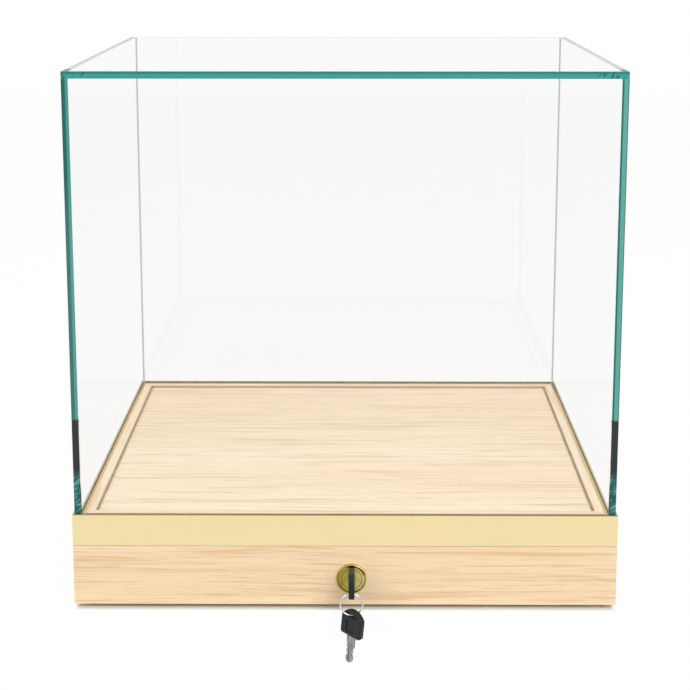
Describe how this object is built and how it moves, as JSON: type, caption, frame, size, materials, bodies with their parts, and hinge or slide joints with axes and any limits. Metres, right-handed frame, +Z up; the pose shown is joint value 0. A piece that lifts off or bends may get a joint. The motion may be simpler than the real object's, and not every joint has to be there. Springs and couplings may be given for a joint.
{
  "type": "countertop display case",
  "caption": "Square glass hood in a pale gold channel frame, hinged at the rear to a pale wood base that it locks to at the front with a cam lock and two keys.",
  "frame": {"origin": "middle of the footprint, on the counter that the feet stand on", "axes": "+X to the right and +Y to the rear as the lock's side is faced, +Z up"},
  "size_m": [0.4, 0.4376, 0.4298],
  "materials": {
    "oak_veneer": "matt pale oak veneer, grain along the longest side",
    "plywood": "bare plywood",
    "gilt_metal": "satin pale gold anodised",
    "clear_glass": "clear float glass, polished edges that look green",
    "lock_brass": "polished brass plate",
    "hinge_brass": "satin brass",
    "zinc_steel": "bright zinc plate",
    "nickel_steel": "nickel plate",
    "key_plastic": "satin black moulded plastic",
    "black_rubber": "matt black rubber",
    "grey_tape": "grey bonding tape"
  },
  "bodies": {
    "base": {"apron_front": "oak_veneer", "apron_back": "oak_veneer", "apron_left": "oak_veneer", "apron_right": "oak_veneer", "bottom_panel": "plywood", "corner_blocks": "plywood", "batten_left": "plywood", "batten_right": "plywood", "batten_back": "plywood", "batten_front_left": "plywood", "batten_front_right": "plywood", "deck_panel": "oak_veneer", "deck_screws": "zinc_steel", "bottom_screws": "zinc_steel", "rubber_feet": "black_rubber", "foot_screws": "zinc_steel", "buffer_pads": "black_rubber", "lock_housing": "lock_brass", "lock_washer": "zinc_steel", "lock_nut": "zinc_steel", "hinge_base_leaf_left": "hinge_brass", "hinge_base_leaf_right": "hinge_brass", "hinge_pins": "hinge_brass", "hinge_base_screws": "hinge_brass"},
    "hood": {"glass_top": "clear_glass", "glass_front": "clear_glass", "glass_back": "clear_glass", "glass_left": "clear_glass", "glass_right": "clear_glass", "frame_front": "gilt_metal", "frame_back": "gilt_metal", "frame_left": "gilt_metal", "frame_right": "gilt_metal", "frame_corner_keys": "zinc_steel", "lining_front": "oak_veneer", "lining_back": "oak_veneer", "lining_left": "oak_veneer", "lining_right": "oak_veneer", "glazing_tape": "grey_tape", "setting_blocks": "black_rubber", "catch_plate": "zinc_steel", "catch_screws": "zinc_steel", "hinge_hood_leaf_left": "hinge_brass", "hinge_hood_leaf_right": "hinge_brass", "hinge_hood_screws": "hinge_brass"},
    "lock_plug": {"lock_plug": "lock_brass", "lock_wafers": "lock_brass", "lock_cam": "zinc_steel", "cam_screw": "zinc_steel"},
    "lock_key": {"key_blade": "nickel_steel", "key_head": "key_plastic"},
    "key_ring": {"key_ring": "nickel_steel"},
    "spare_key": {"spare_key_blade": "nickel_steel", "spare_key_head": "key_plastic"}
  },
  "joints": [
    {"name": "hood_lift", "type": "hinge", "parent": "base", "child": "hood", "pos_m": [0, 0.2036, 0.047], "axis": [-1, 0, 0], "range_deg": [0, 45]},
    {"name": "lock_turn", "type": "hinge", "parent": "base", "child": "lock_plug", "pos_m": [0.005, -0.2, 0.0234], "axis": [0, 1, 0], "range_deg": [0, 90]},
    {"name": "key_slide", "type": "slide", "parent": "lock_plug", "child": "lock_key", "axis": [0, -1, 0], "range_m": [0, 0.025]},
    {"name": "ring_swing", "type": "hinge", "parent": "lock_key", "child": "key_ring", "pos_m": [0.005, -0.2197, 0.01853], "axis": [1, 0, 0], "range_deg": [-60, 5]},
    {"name": "spare_key_swing", "type": "hinge", "parent": "key_ring", "child": "spare_key", "pos_m": [0.005, -0.2197, 0.00233], "axis": [1, 0, 0], "range_deg": [-40, 8]}
  ]
}
